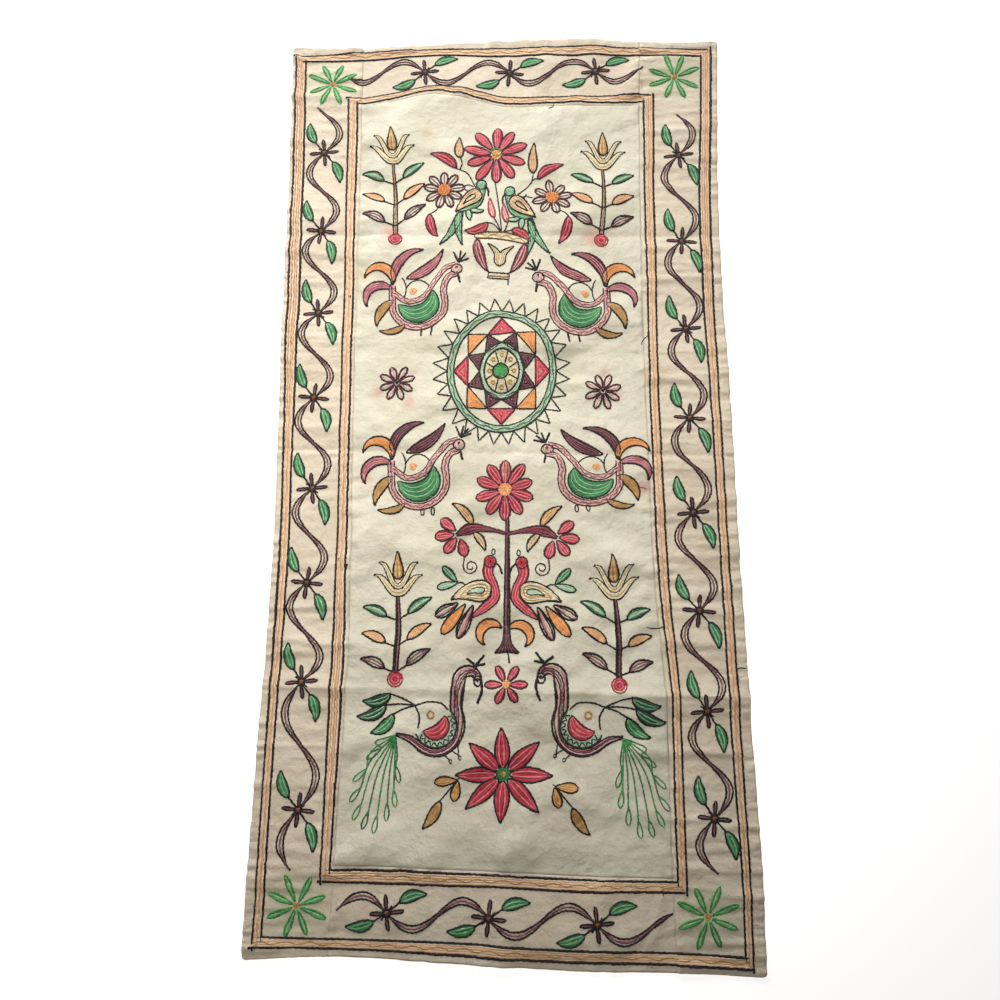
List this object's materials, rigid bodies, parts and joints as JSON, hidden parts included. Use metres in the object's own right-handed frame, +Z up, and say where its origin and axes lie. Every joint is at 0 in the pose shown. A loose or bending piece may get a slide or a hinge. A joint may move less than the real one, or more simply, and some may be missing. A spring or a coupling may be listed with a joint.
{
  "type": "embroidered table runner",
  "caption": "Flat cotton table runner with hand-embroidered birds, flowers and a sunburst on an ivory centre inside blush vine borders",
  "frame": {"origin": "on the table, under the middle of the runner", "axes": "+X across the runner, +Y along it to its far end, +Z up from the table"},
  "size_m": [0.4523, 0.9056, 0.0052],
  "materials": {
    "ivory_cotton": "plain woven cotton, ivory with a faint green cast, soft and matt",
    "blush_cotton": "plain woven cotton, pinkish beige, puckered by its stitching, matt"
  },
  "bodies": {
    "root": {"centre_panel": "ivory_cotton", "side_strip_left": "blush_cotton", "side_strip_right": "blush_cotton", "end_strip_near": "blush_cotton", "end_strip_far": "blush_cotton"}
  },
  "joints": []
}
